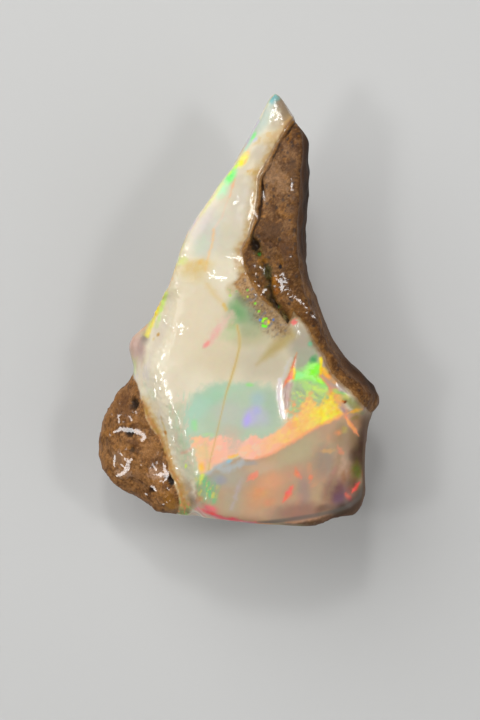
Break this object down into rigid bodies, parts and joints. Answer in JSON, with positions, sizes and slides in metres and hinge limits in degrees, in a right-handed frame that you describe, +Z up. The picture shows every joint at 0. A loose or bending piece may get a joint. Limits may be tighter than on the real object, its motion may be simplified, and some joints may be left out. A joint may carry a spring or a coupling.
{
  "type": "rough opal stone",
  "caption": "Rough chalk opal: a pointed, broken chunk of milky opal with colour play, and brown host rock fused along one edge and round its back.",
  "frame": {"origin": "on the table under the middle of the stone's bounding box, with the stone lying on its back", "axes": "+Z up out of the broken opal face, +Y along the stone to its pointed tip, +X to the side of the rock ridge"},
  "size_m": [0.0248, 0.038, 0.014],
  "materials": {
    "opal_and_host_rock": "wet glossy milky opal, cream to white with patches of green, teal, lavender, orange and red, and pitted brown rock along the ridge, the knob and the lower back"
  },
  "bodies": {
    "root": {"rough_opal": "opal_and_host_rock"}
  },
  "joints": []
}
